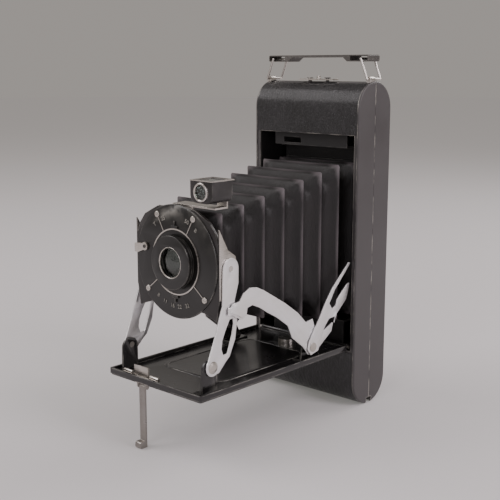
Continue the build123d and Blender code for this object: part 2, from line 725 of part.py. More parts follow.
def faceplate_trim():
    """Raised hairline ring round the lens, with a rib out to each screw."""
    ring = rod_y(trim_r, face_front - 0.4, face_front, *lens_axis)
    ring -= rod_y(trim_r - trim_w, face_front - 2, face_front + 1, *lens_axis)
    rib = bar(trim_r - trim_w / 2, screw_ring_r - 1.8, face_front - 0.3, face_front,
              -rib_w / 2, rib_w / 2)
    for angle in screw_angles:
        ring += Pos(0, 0, lens_z) * Rot(0, -angle, 0) * rib
    return ring


def faceplate_screws():
    heads = []
    for angle in screw_angles:
        x, z = on_face(screw_ring_r, angle)
        head = rod_y(1.7, face_front - 0.7, face_front, x, z)
        head = fillet(head.edges().sort_by(Axis.Y)[:1], 0.5)
        slot = bar(x - 2, x + 2, face_front - 1, face_front - 0.4, z - 0.2, z + 0.2)
        heads += (head - slot).solids()
    return Compound(heads)


def lens_mount():
    tube = rod_y(mount_r, barrel_front + 2.2, standard_y, *lens_axis)
    return tube - rod_y(mount_r - 1.6, barrel_front, standard_y + 1, *lens_axis)


def focus_ring():
    ring = rod_y(barrel_r, barrel_front, face_front - 0.3, *lens_axis)
    ring = fillet(ring.edges().sort_by(Axis.Y)[:1], barrel_edge)
    rear = rod_y(barrel_r + 1, barrel_front + seat_len, face_front, *lens_axis)
    ring -= rear - rod_y(barrel_r - seat_step, barrel_front, face_front, *lens_axis)
    ring -= rod_y(mount_r + run, barrel_front + 2.0, face_front + 1, *lens_axis)
    ring -= rod_y(glass_r, barrel_front - 1, face_front, *lens_axis)
    x, z = on_face(barrel_r, 255.0)
    return ring + rod_y(1.0, barrel_front + seat_len + 0.2, face_front - 0.5, x, z)


def front_lens():
    disc = rod_y(glass_r, barrel_front + 0.6, barrel_front + 1.9, *lens_axis)
    return fillet(disc.edges().sort_by(Axis.Y)[:1], 0.5)


def pointer(angle, reach):
    """Sliding pointer of a dial: a short arc just outside the trim ring, and its finger."""
    y0 = face_front - pointer_rise - 0.5
    y1 = face_front - pointer_rise
    ring = rod_y(trim_r + 1.6, y0, y1, *lens_axis) - rod_y(trim_r + 0.3, y0 - 1, y1 + 1, *lens_axis)
    turned = Pos(0, 0, lens_z) * Rot(0, -angle, 0)
    arc = ring & (turned * bar(10, 40, -200, 0, -2.2, 2.2))
    return arc + turned * bar(trim_r + 1, reach, y0, y1, -0.45, 0.45)


def release_lever():
    x, z = release_pivot
    y0 = face_front - 1.1
    y1 = face_front - 0.3
    arm = sheet_y([(x, z + 1.6), (x, z - 1.6), (-28.4, 100.6), (-30.8, 100.8), (-30.8, 105.4),
                   (-28.2, 105.8)], y0, y1, 0.6)
    return arm + rod_y(2.2, y0 - 0.3, y1, x, z) - rod_y(0.9 + run, y0 - 2, y1 + 1, x, z)


# --- finder --------------------------------------------------------------------------------

finder_hw = finder_w / 2
finder_hh = finder_h / 2
finder_lens_r = 4.2
upright_y0 = finder_y1 + 0.4


def finder_body():
    x0 = finder_x - finder_hw
    x1 = finder_x + finder_hw
    z0 = finder_z - finder_hh
    z1 = finder_z + finder_hh
    box = bar(x0, x1, finder_y0, finder_y1, z0, z1)
    box = fillet(box.edges().filter_by(Axis.Y).sort_by(Axis.Z)[:2], 4.0)
    box -= bar(x0 + 0.9, x1 - 0.9, finder_y0 + 0.9, finder_y1 - 0.9, z0 + 3.6, z1 - 0.9)
    box -= bar(x0 + 2.4, x1 - 2.4, finder_y0 + 3.0, finder_y1 - 2.4, z1 - 2, z1 + 1)
    box += rod_y(finder_lens_r + 0.7, finder_y0 - 0.4, finder_y0 + 0.2, finder_x, finder_z)
    box -= rod_y(finder_lens_r, finder_y0 - 1, finder_y0 + 1.5, finder_x, finder_z)
    return box + rod_y(0.9, finder_y1 - 0.5, upright_y0 + 1.2, finder_x, finder_z)


def finder_glasses():
    """The front lens and the ground top window."""
    lens = rod_y(finder_lens_r, finder_y0 - 0.1, finder_y0 + 0.8, finder_x, finder_z)
    z1 = finder_z + finder_hh
    window = bar(finder_x - finder_hw + 2.4, finder_x + finder_hw - 2.4,
                 finder_y0 + 3.0, finder_y1 - 2.4, z1 - 0.9, z1 - 0.1)
    return Compound([*lens.solids(), *window.solids()])


def finder_mirror():
    y0 = finder_y0 + 3.2
    z0 = finder_z - finder_hh + 3.6
    points = [(y0 + 1.0, z0), (y0 + 2.2, z0), (y0 + 7.2, z0 + 5.0), (y0 + 6.0, z0 + 5.0)]
    return sheet_x(points, finder_x - finder_hw + 1.2, finder_x + finder_hw - 1.2)


def finder_bracket():
    z1 = finder_z - finder_w / 2 - gap - 0.1
    z0 = z1 - 0.9
    top = finder_z + 3.5
    y1 = upright_y0 + 0.8
    base = sheet_y([(-6, z0 - 4.9), (12, z0 - 4.9), (10, z1), (-4, z1)], standard_y, standard_y + 0.9)
    shelf = bar(-4, finder_x + 3.5, standard_y, y1, z0, z1)
    upright = bar(finder_x - 3.5, finder_x + 3.5, upright_y0, y1, z0, top)
    hole = rod_y(0.9 + run, upright_y0 - 1, upright_y0 + 2, finder_x, finder_z)
    return base + shelf + upright - hole


# --- bellows -------------------------------------------------------------------------------

def fold_size(y):
    """Half width and half height of the folds' outer edge at this depth."""
    return min(frame_hw, 30.0 + 0.06 * y), min(frame_hh, 46.4 + 0.21 * y)


def bellows():
    stops = [(standard_y + gap, fold_depth / 2)]
    for i in range(fold_count):
        y = fold_first + i * fold_pitch
        stops += [(y, 0), (y + fold_pitch / 2, fold_depth)]
    stops += [(frame_y - 4.0, 0), (frame_y, 2.0)]

    def tube(inset):
        faces = []
        for y, depth in stops:
            hw, hh = fold_size(y)
            size = Rectangle(2 * (hw - depth - inset), 2 * (hh - depth - inset))
            faces.append(Plane((0, y, optic_z), x_dir=(1, 0, 0), z_dir=(0, -1, 0)) * size)
        return loft(Sketch() + faces, ruled=True)

    return tube(0) - tube(bellows_t)


def bellows_frame():
    frame = bar(-frame_hw, frame_hw, frame_y, gate_y, optic_z - frame_hh, optic_z + frame_hh)
    return frame - bar(-gate_w / 2, gate_w / 2, 0, 30, optic_z - gate_h / 2, optic_z + gate_h / 2)


# --- every piece, moved so that the origin is under the middle of the whole ----------------

x_low = -half_w - key_reach
x_high = half_w
y_low = foot_y - toe_reach - 0.9
y_high = body_d + window_knob_y
to_origin = Pos(-(x_low + x_high) / 2, -(y_low + y_high) / 2, 0)

pieces = {
    "body_shell": body_shell(),
    "body_leather": body_leather(),
    "inner_frame": inner_frame(),
    "light_baffles": light_baffles(),
    "hinge_rod": hinge_rod(),
    "back_hinge_pin": back_hinge_pin(),
    "lever_studs": lever_studs(),
    "spool_studs": spool_studs(),
    "handle_clips": handle_clips(),
    "bellows_frame": bellows_frame(),
    "takeup_spool": spool(top_spool_z),
    "feed_spool": spool(low_spool_z),
    "roller_top": roller(roller_z[1]),
    "roller_bottom": roller(roller_z[0]),
    "winding_key": winding_key(),
    "back_cover": back_cover(),
    "back_leather": back_leather(),
    "ruby_glass": ruby_glass(),
    "window_cover": window_cover(),
    "pressure_plate": pressure_plate(),
    "pressure_spring": pressure_spring(),
    "back_latch": back_latch(),
    "handle_loop_right": handle_loop(1),
    "handle_loop_left": handle_loop(-1),
    "handle_strap": handle_strap(),
    "bed_tray": bed_tray(),
    "bed_leather": bed_leather(),
    "tripod_bush": tripod_bush(),
    "bed_latch": bed_latch(),
    "front_ears": front_ears(),
    "rear_ears": rear_ears(),
    "bed_rivets": bed_rivets(),
    "foot_bracket": foot_bracket(),
    "foot": foot(),
    "strut_right": strut(1),
    "strut_left": strut(-1),
    "top_rivets": top_rivets(),
    "link_right": link(1),
    "link_left": link(-1),
    "lever_right": lever(1),
    "lever_left": lever(-1),
    "standard_plate": standard_plate(),
    "shutter_housing": shutter_housing(),
    "shutter_blades": shutter_blades(),
    "iris": iris(),
    "rear_lens": rear_lens(),
    "faceplate": faceplate(),
    "faceplate_trim": faceplate_trim(),
    "faceplate_screws": faceplate_screws(),
    "lens_mount": lens_mount(),
    "focus_ring": focus_ring(),
    "front_lens": front_lens(),
    "speed_pointer": pointer(90.0, 21.5),
    "aperture_pointer": pointer(270.0, 21.5),
    "release_lever": release_lever(),
    "finder_bracket": finder_bracket(),
    "finder_body": finder_body(),
    "finder_glasses": finder_glasses(),
    "finder_mirror": finder_mirror(),
    "bellows": bellows(),
}

for name, piece in pieces.items():
    export_step(to_origin * piece, f"parts/{name}.step")
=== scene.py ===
import bmesh
import bpy
import json
from math import cos, pi, radians, sin
from mathutils import Matrix, Vector

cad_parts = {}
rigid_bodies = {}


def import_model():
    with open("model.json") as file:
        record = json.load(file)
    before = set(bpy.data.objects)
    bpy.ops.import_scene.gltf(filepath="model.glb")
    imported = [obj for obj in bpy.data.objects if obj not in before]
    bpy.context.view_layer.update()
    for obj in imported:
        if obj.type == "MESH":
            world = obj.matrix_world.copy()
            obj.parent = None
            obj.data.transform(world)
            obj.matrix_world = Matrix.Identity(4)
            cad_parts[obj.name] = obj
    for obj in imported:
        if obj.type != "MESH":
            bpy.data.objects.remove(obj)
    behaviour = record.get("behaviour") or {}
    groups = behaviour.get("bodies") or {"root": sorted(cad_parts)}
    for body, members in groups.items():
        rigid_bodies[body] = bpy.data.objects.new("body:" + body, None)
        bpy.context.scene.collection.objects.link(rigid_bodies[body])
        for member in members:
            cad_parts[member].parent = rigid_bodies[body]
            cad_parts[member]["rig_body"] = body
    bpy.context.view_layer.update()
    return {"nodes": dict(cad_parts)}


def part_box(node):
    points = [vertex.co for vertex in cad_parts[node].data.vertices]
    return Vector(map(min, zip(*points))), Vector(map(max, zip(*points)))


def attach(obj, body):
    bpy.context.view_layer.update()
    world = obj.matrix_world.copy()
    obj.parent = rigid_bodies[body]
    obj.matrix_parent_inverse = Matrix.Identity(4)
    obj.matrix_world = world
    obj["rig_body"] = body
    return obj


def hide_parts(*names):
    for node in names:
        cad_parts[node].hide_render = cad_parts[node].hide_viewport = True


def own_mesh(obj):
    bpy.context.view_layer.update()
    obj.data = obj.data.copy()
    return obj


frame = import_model()

# ---- Studio ----
# A pale floor whose far side melts into the room, lit by four large soft panels: one high on the
# left, one low in front, one on the right and one behind for the rim of the body.

scene = bpy.context.scene
camera = bpy.data.objects.new("view", bpy.data.cameras.new("view"))
camera.data.sensor_width = 36.0
camera.data.lens = 68.27
camera.data.dof.use_dof = False
camera.location = (0.35697, -0.38654, 0.19785)
camera.rotation_euler = (radians(90 - 10.92), 0, radians(42.52))
scene.collection.objects.link(camera)
scene.camera = camera

floor_mesh = bpy.data.meshes.new("studio_floor")
studio_floor = bpy.data.objects.new("studio_floor", floor_mesh)
scene.collection.objects.link(studio_floor)
bm = bmesh.new()
bmesh.ops.create_circle(bm, cap_ends=True, segments=96, radius=6.0)
bm.to_mesh(floor_mesh)
bm.free()
floor_finish = bpy.data.materials.new("pale_floor")
floor_finish.use_nodes = True
floor_shader = floor_finish.node_tree.nodes["Principled BSDF"]
floor_shader.inputs["Base Color"].default_value = (0.60, 0.57, 0.585, 1)
floor_shader.inputs["Roughness"].default_value = 0.8
floor_shader.inputs["Specular IOR Level"].default_value = 0.0
floor_shader.inputs["Emission Color"].default_value = (0.98, 0.97, 0.90, 1)
floor_shader.inputs["Emission Strength"].default_value = 0.135
floor_mesh.materials.append(floor_finish)

world = bpy.data.worlds.new("room")
scene.world = world
world.use_nodes = True
world.node_tree.nodes["Background"].inputs["Color"].default_value = (0.630, 0.585, 0.548, 1)
world.node_tree.nodes["Background"].inputs["Strength"].default_value = 0.55

aim = Vector((0, -0.02, 0.09))
for name, place, size, power, colour in (
    ("left_panel", (-0.75, -0.55, 0.95), (0.9, 0.7), 7.0, (1.0, 0.96, 0.97)),
    ("front_panel", (0.35, -1.15, 0.55), (0.5, 0.7), 3.2, (0.97, 0.94, 1.0)),
    ("right_panel", (1.05, 0.15, 0.75), (0.5, 0.9), 8.0, (1.0, 0.93, 0.99)),
    ("back_panel", (0.25, 0.95, 0.8), (0.9, 0.5), 5.0, (1.0, 0.97, 0.97)),
):
    lamp = bpy.data.lights.new(name, "AREA")
    lamp.shape = "RECTANGLE"
    lamp.size, lamp.size_y = size
    lamp.energy = power
    lamp.color = colour
    holder = bpy.data.objects.new(name, lamp)
    holder.location = place
    holder.rotation_euler = (aim - Vector(place)).to_track_quat("-Z", "Y").to_euler()
    scene.collection.objects.link(holder)


# ---- Body shell and back cover ----
# Pressed aluminium halves, spray enamelled. The enamel is thin on the rolled side rims, where
# years of handling have rubbed it through to bright metal; the bright rims also serve as a
# painted rim highlight along the body's outline.

def effect(name, inputs, outputs):
    """A shader node group with its sockets, its nodes and its two ends."""
    group = bpy.data.node_groups.new(name, "ShaderNodeTree")
    for label, value in inputs:
        socket = group.interface.new_socket(label, in_out="INPUT", socket_type="NodeSocketFloat")
        socket.default_value = value
    for label in outputs:
        group.interface.new_socket(label, in_out="OUTPUT", socket_type="NodeSocketFloat")
    return group, group.nodes.new("NodeGroupInput"), group.nodes.new("NodeGroupOutput")


def math_node(tree, kind, a, b=None, c=None):
    node = tree.nodes.new("ShaderNodeMath")
    node.operation = kind
    for i, value in enumerate((a, b, c)):
        if value is None:
            continue
        if isinstance(value, (int, float)):
            node.inputs[i].default_value = value
        else:
            tree.links.new(value, node.inputs[i])
    return node.outputs[0]


def span(tree, value, low, high):
    """Maps low..high of a value to 0..1, held at both ends."""
    node = tree.nodes.new("ShaderNodeMapRange")
    tree.links.new(value, node.inputs["Value"])
    node.inputs["From Min"].default_value = low
    node.inputs["From Max"].default_value = high
    return node.outputs["Result"]


def place_of(tree, stretch=(1, 1, 1)):
    where = tree.nodes.new("ShaderNodeTexCoord")
    scale = tree.nodes.new("ShaderNodeMapping")
    scale.inputs["Scale"].default_value = stretch
    tree.links.new(where.outputs["Object"], scale.inputs["Vector"])
    return scale.outputs["Vector"]


def noise(tree, vector, scale, detail=3.0, rough=0.5):
    node = tree.nodes.new("ShaderNodeTexNoise")
    tree.links.new(vector, node.inputs["Vector"])
    node.inputs["Detail"].default_value = detail
    node.inputs["Roughness"].default_value = rough
    if isinstance(scale, (int, float)):
        node.inputs["Scale"].default_value = scale
    else:
        tree.links.new(scale, node.inputs["Scale"])
    return node.outputs["Fac"]


# Bare metal where the bevel normal turns away from the face, in patches: partly real rubbed wear, partly a painted
# rim highlight.
rubbed_rims_and_highlight, ends_in, ends_out = effect("rubbed_edges_and_rim_highlight", [("Width", 0.0006), ("Amount", 1.0)], ["Mask"])
rounded = rubbed_rims_and_highlight.nodes.new("ShaderNodeBevel")
rounded.samples = 6
rubbed_rims_and_highlight.links.new(ends_in.outputs["Width"], rounded.inputs["Radius"])
true_face = rubbed_rims_and_highlight.nodes.new("ShaderNodeNewGeometry")
match = rubbed_rims_and_highlight.nodes.new("ShaderNodeVectorMath")
match.operation = "DOT_PRODUCT"
rubbed_rims_and_highlight.links.new(rounded.outputs["Normal"], match.inputs[0])
rubbed_rims_and_highlight.links.new(true_face.outputs["True Normal"], match.inputs[1])
turned = span(rubbed_rims_and_highlight, math_node(rubbed_rims_and_highlight, "SUBTRACT", 1.0, match.outputs["Value"]), 0.005, 0.12)
patchy = span(rubbed_rims_and_highlight, noise(rubbed_rims_and_highlight, place_of(rubbed_rims_and_highlight), 120.0, 3.0, 0.5), 0.4, 0.62)
wear_and_rim_highlight = math_node(rubbed_rims_and_highlight, "MULTIPLY", turned, patchy)
rubbed_rims_and_highlight.links.new(math_node(rubbed_rims_and_highlight, "MULTIPLY", wear_and_rim_highlight, ends_in.outputs["Amount"]), ends_out.inputs["Mask"])

handled, ends_in, ends_out = effect("handling", [("Scale", 40.0)], ["Smudge", "Speckle"])
smudge = span(handled, noise(handled, place_of(handled), ends_in.outputs["Scale"], 4.0, 0.55), 0.35, 0.68)
handled.links.new(smudge, ends_out.inputs["Smudge"])
dots = span(handled, noise(handled, place_of(handled), 1900.0, 2.0, 0.5), 0.70, 0.80)
handled.links.new(dots, ends_out.inputs["Speckle"])


def use(tree, group, **values):
    node = tree.nodes.new("ShaderNodeGroup")
    node.node_tree = group
    for label, value in values.items():
        node.inputs[label].default_value = value
    return node.outputs


def blend_colour(tree, mask, low, high):
    node = tree.nodes.new("ShaderNodeMix")
    node.data_type = "RGBA"
    tree.links.new(mask, node.inputs["Factor"])
    for socket, value in ((node.inputs["A"], low), (node.inputs["B"], high)):
        if isinstance(value, tuple):
            socket.default_value = (*value, 1)
        else:
            tree.links.new(value, socket)
    return node.outputs["Result"]


def blend_value(tree, mask, low, high):
    return math_node(tree, "MULTIPLY_ADD", mask, high - low, low)


def dent(tree, shader, height, depth, strength=1.0):
    node = tree.nodes.new("ShaderNodeBump")
    node.inputs["Distance"].default_value = depth
    node.inputs["Strength"].default_value = strength
    tree.links.new(height, node.inputs["Height"])
    tree.links.new(node.outputs["Normal"], shader.inputs["Normal"])


def enamel(name, colour, gloss, edge, metal=(0.72, 0.69, 0.63), peel=0.00002, dusty=0.35):
    """Sprayed enamel over metal, rubbed through at its edges; the bright edges are also a painted rim highlight."""
    material = bpy.data.materials.new(name)
    material.use_nodes = True
    tree = material.node_tree
    shader = tree.nodes["Principled BSDF"]
    wear_and_rim_highlight = use(tree, rubbed_rims_and_highlight, Amount=edge)["Mask"]
    marks = use(tree, handled, Scale=34.0)
    dusted = tuple(min(1, c * 1.6 + 0.012) for c in colour)
    paint = blend_colour(tree, math_node(tree, "MULTIPLY", marks["Smudge"], dusty), colour, dusted)
    # Paint turns to bright metal along the edge mask: real rubbed wear and a painted rim highlight.
    tree.links.new(blend_colour(tree, wear_and_rim_highlight, paint, metal), shader.inputs["Base Color"])
    tree.links.new(wear_and_rim_highlight, shader.inputs["Metallic"])
    sheen = blend_value(tree, marks["Smudge"], gloss, gloss + 0.14)
    tree.links.new(math_node(tree, "MULTIPLY_ADD", marks["Speckle"], 0.1, sheen), shader.inputs["Roughness"])
    shader.inputs["Coat Weight"].default_value = 0.25
    shader.inputs["Coat Roughness"].default_value = gloss * 0.7
    dent(tree, shader, noise(tree, place_of(tree), 900.0, 2.0), peel)
    return material


def eased(node, edge, material, name=None):
    """The pressed piece with its edges rolled over by a real radius."""
    source = frame["nodes"][node]
    mesh = source.data.copy()
    bm = bmesh.new()
    bm.from_mesh(mesh)
    bmesh.ops.remove_doubles(bm, verts=bm.verts, dist=1e-6)
    bmesh.ops.dissolve_limit(bm, angle_limit=radians(0.6), verts=bm.verts, edges=bm.edges)
    bm.to_mesh(mesh)
    bm.free()
    piece = bpy.data.objects.new(name or node + "_finished", mesh)
    scene.collection.objects.link(piece)
    roll = piece.modifiers.new("rolled_edge", "BEVEL")
    roll.width = edge
    roll.segments = 3
    roll.limit_method = "ANGLE"
    roll.angle_limit = radians(35)
    roll.harden_normals = True
    mesh.shade_smooth()
    done = bpy.data.meshes.new_from_object(piece.evaluated_get(bpy.context.evaluated_depsgraph_get()))
    piece.modifiers.clear()
    piece.data = done
    done.materials.clear()
    done.materials.append(material)
    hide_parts(node)
    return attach(piece, source["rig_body"])


def dress(material, *nodes):
    for node in nodes:
        mesh = frame["nodes"][node].data
        mesh.materials.clear()
        mesh.materials.append(material)


side_enamel = enamel("side_enamel", (0.05, 0.045, 0.046), 0.42, 1.0, peel=0.00003)
dress(side_enamel, "body_shell", "back_cover")

# ---- Inner frame and film gate ----
# A folded sheet-steel frame inside the shell, dull black so that no light is thrown about.

dull_black = enamel("dull_black", (0.012, 0.011, 0.011), 0.6, 0.25, dusty=0.2)
dress(dull_black, "inner_frame", "light_baffles", "bellows_frame", "pressure_plate",
      "shutter_housing", "lens_mount", "shutter_blades", "iris")

# ---- Leather covering ----
# Thin split leather glued into recesses of the shell, with a grain of fine upright streaks
# that was rolled in, and polished on its high spots.

grain, ends_in, ends_out = effect("rolled_grain", [("Scale", 900.0)], ["Height", "Polish"])
streaks = noise(grain, place_of(grain, (1.0, 0.35, 0.22)), ends_in.outputs["Scale"], 5.0, 0.62)
pores = grain.nodes.new("ShaderNodeTexVoronoi")
pores.feature = "DISTANCE_TO_EDGE"
grain.links.new(place_of(grain, (1.0, 0.5, 0.4)), pores.inputs["Vector"])
pores.inputs["Scale"].default_value = 1100.0
cells = span(grain, pores.outputs["Distance"], 0.0, 0.25)
high = math_node(grain, "ADD", math_node(grain, "MULTIPLY", span(grain, streaks, 0.36, 0.64), 0.75),
                 math_node(grain, "MULTIPLY", cells, 0.25))
grain.links.new(high, ends_out.inputs["Height"])
grain.links.new(span(grain, high, 0.6, 1.0), ends_out.inputs["Polish"])


def leather(name, low, high, scale, depth, gloss, polish=0.0):
    material = bpy.data.materials.new(name)
    material.use_nodes = True
    tree = material.node_tree
    shader = tree.nodes["Principled BSDF"]
    skin = use(tree, grain, Scale=scale)
    marks = use(tree, handled, Scale=26.0)
    tone = blend_colour(tree, skin["Polish"], low, high)
    fading = math_node(tree, "MULTIPLY", marks["Smudge"], 0.3)
    faded = blend_colour(tree, fading, tone, tuple(c * 1.7 for c in high))
    tree.links.new(faded, shader.inputs["Base Color"])
    sheen = math_node(tree, "MULTIPLY_ADD", skin["Polish"], -0.16, gloss)
    tree.links.new(math_node(tree, "MULTIPLY_ADD", marks["Smudge"], 0.1, sheen), shader.inputs["Roughness"])
    shader.inputs["Specular IOR Level"].default_value = 0.5
    shader.inputs["Coat Weight"].default_value = polish
    shader.inputs["Coat Roughness"].default_value = 0.24
    dent(tree, shader, skin["Height"], depth)
    return material


body_hide = leather("body_hide", (0.003, 0.0026, 0.0026), (0.030, 0.028, 0.031), 560.0, 0.0008, 0.36,
                    polish=0.35)
dress(body_hide, "body_leather", "back_leather", "bed_leather")

# ---- Bellows ----
# Black leather cloth over card strips. Each fold runs round all four sides, and the corners
# tuck in between the folds so that the whole can lie flat.

low, high_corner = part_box("bellows")
mid = (low + high_corner) / 2
rear_hw, rear_hh = (high_corner.x - low.x) / 2, (high_corner.z - low.z) / 2
fold_count = 8
front_hw, front_hh = 0.0235, 0.0255
fold_depth = 0.0046
bellows_mesh = bpy.data.meshes.new("bellows_folds")
bellows_folds = bpy.data.objects.new("bellows_folds", bellows_mesh)
scene.collection.objects.link(bellows_folds)
bm = bmesh.new()
steps_per_fold = 12
rings = []
length = high_corner.y - low.y
for step in range(fold_count * steps_per_fold + 1):
    along = step / (fold_count * steps_per_fold)
    phase = (step % steps_per_fold) / steps_per_fold
    crest = 1 - abs(2 * phase - 1)
    crest = crest ** 2.2
    y = low.y + along * length
    hw = min(front_hw + (rear_hw + 0.0005 - front_hw) * along ** 0.9, rear_hw - 0.0003)
    hh = min(front_hh + (rear_hh + 0.004 - front_hh) * along, rear_hh - 0.0003)
    inset = fold_depth * (1 - crest)
    tuck = 0.0008 + 0.0058 * (1 - crest)
    w, h = hw - inset, hh - inset
    outline = []
    for sx, sz in ((1, 1), (-1, 1), (-1, -1), (1, -1)):
        a, b = (w, h - tuck), (w - tuck, h)
        if sx * sz < 0:
            a, b = b, a
        outline += [(sx * a[0], sz * a[1]), (sx * b[0], sz * b[1])]
    ring = []
    for i, (x, z) in enumerate(outline):
        nx, nz = outline[(i + 1) % 8]
        parts = 14 if i % 2 else 3
        for k in range(parts):
            t = k / parts
            px, pz = x + (nx - x) * t, z + (nz - z) * t
            sag = 0.0006 * sin(pi * t) * (1 - crest) if i % 2 else 0
            px -= sag * (1 if px > 0 else -1) * (abs(px) > abs(pz) * rear_hw / rear_hh)
            ring.append(bm.verts.new((mid.x + px, y, mid.z + pz)))
    rings.append(ring)
for a, b in zip(rings, rings[1:]):
    for i in range(len(a)):
        j = (i + 1) % len(a)
        bm.faces.new((a[i], a[j], b[j], b[i]))
bmesh.ops.recalc_face_normals(bm, faces=bm.faces)
bm.to_mesh(bellows_mesh)
bm.free()
bellows_mesh.shade_smooth()
thick = bellows_folds.modifiers.new("cloth_thickness", "SOLIDIFY")
thick.thickness = 0.0006
thick.offset = -1
done = bpy.data.meshes.new_from_object(bellows_folds.evaluated_get(bpy.context.evaluated_depsgraph_get()))
bellows_folds.modifiers.clear()
bellows_folds.data = done

bellows_cloth = bpy.data.materials.new("bellows_cloth")
bellows_cloth.use_nodes = True
tree = bellows_cloth.node_tree
shader = tree.nodes["Principled BSDF"]
pebble = use(tree, grain, Scale=1500.0)
marks = use(tree, handled, Scale=60.0)
# Pointiness makes the fold crests light grey and the valleys near-black: painted highlight on the crests, painted
# shade in the valleys.
crease = tree.nodes.new("ShaderNodeNewGeometry")
painted_ridge_light = span(tree, crease.outputs["Pointiness"], 0.53, 0.60)
tone = blend_colour(tree, painted_ridge_light, (0.006, 0.0048, 0.0052), (0.19, 0.165, 0.175))
dust = math_node(tree, "MULTIPLY", marks["Smudge"], 0.25)
tree.links.new(blend_colour(tree, dust, tone, (0.04, 0.035, 0.034)), shader.inputs["Base Color"])
tree.links.new(blend_value(tree, marks["Smudge"], 0.5, 0.64), shader.inputs["Roughness"])
dent(tree, shader, pebble["Height"], 0.0001)
done.materials.clear()
done.materials.append(bellows_cloth)
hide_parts("bellows")
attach(bellows_folds, "body")
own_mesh(bellows_folds)

# ---- Bed ----
# The drop front: a pressed steel tray, gloss black inside with a raised panel, leather below.

bed_enamel = enamel("bed_enamel", (0.010, 0.009, 0.0095), 0.17, 0.5)
eased("bed_tray", 0.0004, bed_enamel)
eased("front_ears", 0.0002, bed_enamel)
eased("rear_ears", 0.0002, bed_enamel)

# ---- Struts, links and forked levers ----
# Stamped from sheet brass and nickel plated, brushed along their length. The plating has
# yellowed a little and carries fine scratches.

scratch, ends_in, ends_out = effect("fine_scratches", [("Scale", 120.0)], ["Lines", "Cloud"])
lines = noise(scratch, place_of(scratch, (1.0, 0.25, 6.0)), ends_in.outputs["Scale"], 6.0, 0.7)
scratch.links.new(span(scratch, lines, 0.4, 0.62), ends_out.inputs["Lines"])
cloud = noise(scratch, place_of(scratch), 55.0, 4.0, 0.6)
scratch.links.new(span(scratch, cloud, 0.35, 0.7), ends_out.inputs["Cloud"])


def nickel(name, colour=(0.80, 0.78, 0.74), gloss=0.26, tarnish=0.35):
    material = bpy.data.materials.new(name)
    material.use_nodes = True
    tree = material.node_tree
    shader = tree.nodes["Principled BSDF"]
    marks = use(tree, scratch, Scale=120.0)
    dull = tuple(c * f for c, f in zip(colour, (0.72, 0.68, 0.6)))
    tree.links.new(blend_colour(tree, math_node(tree, "MULTIPLY", marks["Cloud"], tarnish), colour, dull),
                   shader.inputs["Base Color"])
    shader.inputs["Metallic"].default_value = 1.0
    rough = blend_value(tree, marks["Lines"], gloss - 0.04, gloss + 0.08)
    tree.links.new(math_node(tree, "MULTIPLY_ADD", marks["Cloud"], 0.12, rough), shader.inputs["Roughness"])
    dent(tree, shader, marks["Lines"], 0.000012)
    return material


strut_nickel = nickel("strut_nickel", (0.97, 0.965, 0.985), 0.36, 0.35)
for plate in ("strut_right", "strut_left", "link_right", "link_left", "lever_right", "lever_left"):
    eased(plate, 0.00022, strut_nickel)

# Each link has a finger bent over the strut's edge, and each lever a small flange on its tail.
link_low, link_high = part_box("link_right")
lever_low, lever_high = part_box("lever_right")
centre_x = (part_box("bed_tray")[0].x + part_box("bed_tray")[1].x) / 2


def bent_strip(name, body, path, width, thick, side):
    """A flat strip that follows its (y, z) path, standing out across x from the plate."""
    mesh = bpy.data.meshes.new(name)
    bm = bmesh.new()
    x0 = link_high.x - centre_x if body == "links" else lever_high.x - centre_x
    rows = []
    for i, (y, z) in enumerate(path):
        before, after = path[max(i - 1, 0)], path[min(i + 1, len(path) - 1)]
        run_y, run_z = after[0] - before[0], after[1] - before[1]
        length = (run_y ** 2 + run_z ** 2) ** 0.5
        ny, nz = -run_z / length * thick / 2, run_y / length * thick / 2
        rows.append([bm.verts.new((centre_x + side * x, y + sign * ny, z + sign * nz))
                     for x, sign in ((x0 - 0.0002, -1), (x0 + width, -1), (x0 + width, 1), (x0 - 0.0002, 1))])
    for a, b in zip(rows, rows[1:]):
        for k in range(4):
            bm.faces.new((a[k], a[(k + 1) % 4], b[(k + 1) % 4], b[k]))
    bm.faces.new(rows[0])
    bm.faces.new(rows[-1][::-1])
    bmesh.ops.recalc_face_normals(bm, faces=bm.faces)
    bmesh.ops.bevel(bm, geom=list(bm.edges), offset=0.00012, segments=2, affect="EDGES")
    bm.to_mesh(mesh)
    bm.free()
    mesh.materials.append(strut_nickel)
    piece = bpy.data.objects.new(name, mesh)
    scene.collection.objects.link(piece)
    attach(piece, body)


tab_y, tab_z = link_low.y, (link_low.z + link_high.z) / 2 + 0.0125
tail_y, tail_z = lever_low.y + 0.0236, lever_low.z + 0.0176
finger_path = [(tab_y + 0.0008, tab_z + 0.0008), (tab_y + 0.0052, tab_z - 0.0010),
               (tab_y + 0.0094, tab_z - 0.0036)]
flange_path = [(tail_y - 0.0010, tail_z - 0.0028), (tail_y, tail_z), (tail_y + 0.0014, tail_z + 0.0030)]
for side, word in ((1, "right"), (-1, "left")):
    bent_strip("link_finger_" + word, "links", finger_path, 0.0011, 0.0005, side)
    bent_strip("lever_flange_" + word, "levers", flange_path, 0.0004, 0.0005, side)

